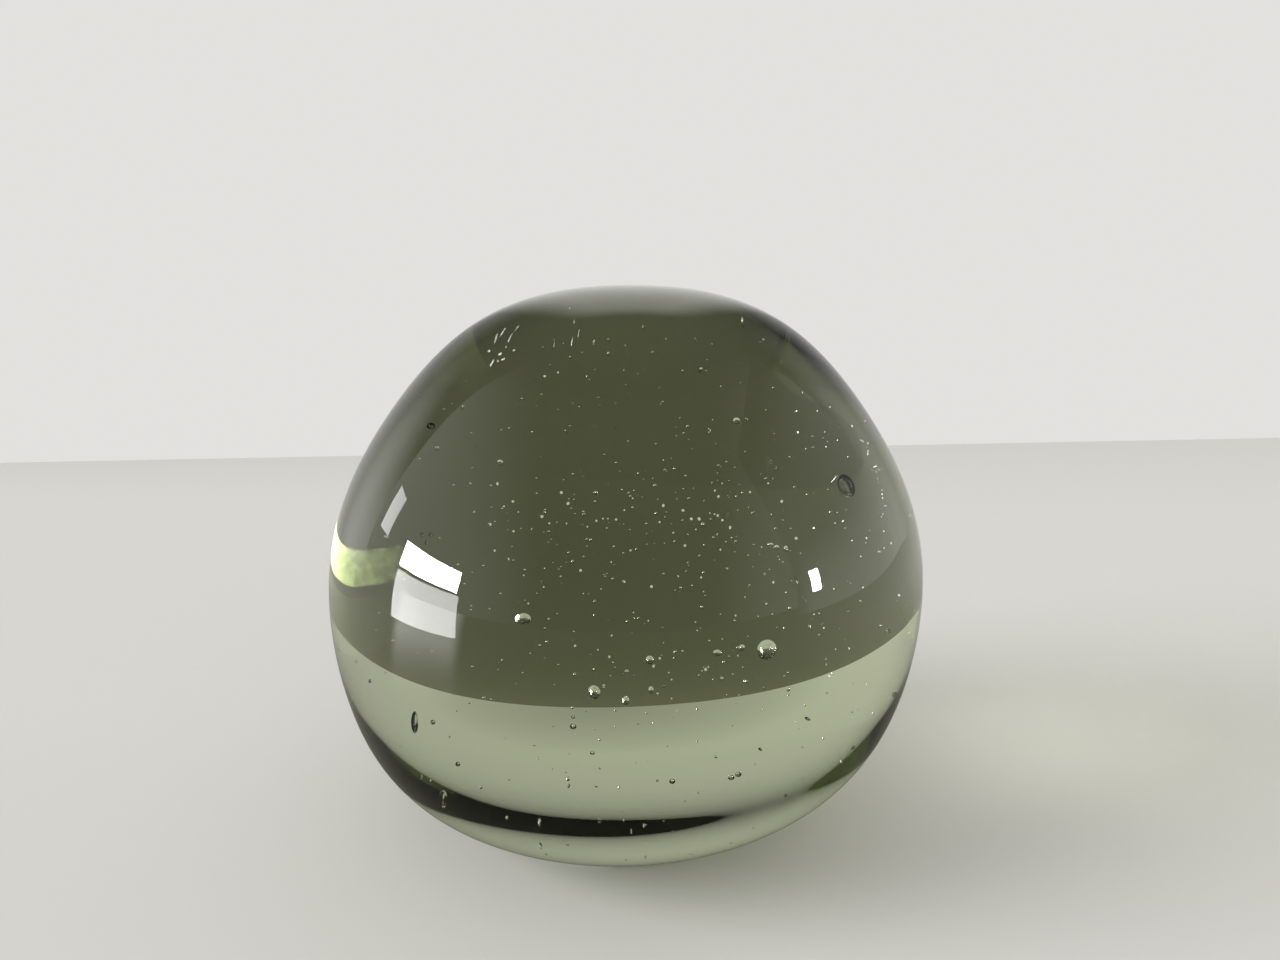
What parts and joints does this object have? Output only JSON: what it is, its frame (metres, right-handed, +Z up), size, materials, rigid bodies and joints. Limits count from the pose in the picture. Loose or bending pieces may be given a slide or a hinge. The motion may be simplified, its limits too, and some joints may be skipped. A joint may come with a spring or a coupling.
{
  "type": "paperweight",
  "caption": "Solid ball-shaped glass paperweight with a flattened crown, a ground flat base and trapped air bubbles, resting by its own weight on paper.",
  "frame": {"origin": "on the table under the middle of the body, at the centre of its bounding box's underside", "axes": "+Z up; +X towards the side that the body sags to; -Y towards the viewer of the picture"},
  "size_m": [0.088, 0.088, 0.0806],
  "materials": {
    "bottle_glass": "fire-polished clear yellow-green glass with trapped bubbles; underside ground flat"
  },
  "bodies": {
    "root": {"glass_body": "bottle_glass"}
  },
  "joints": []
}
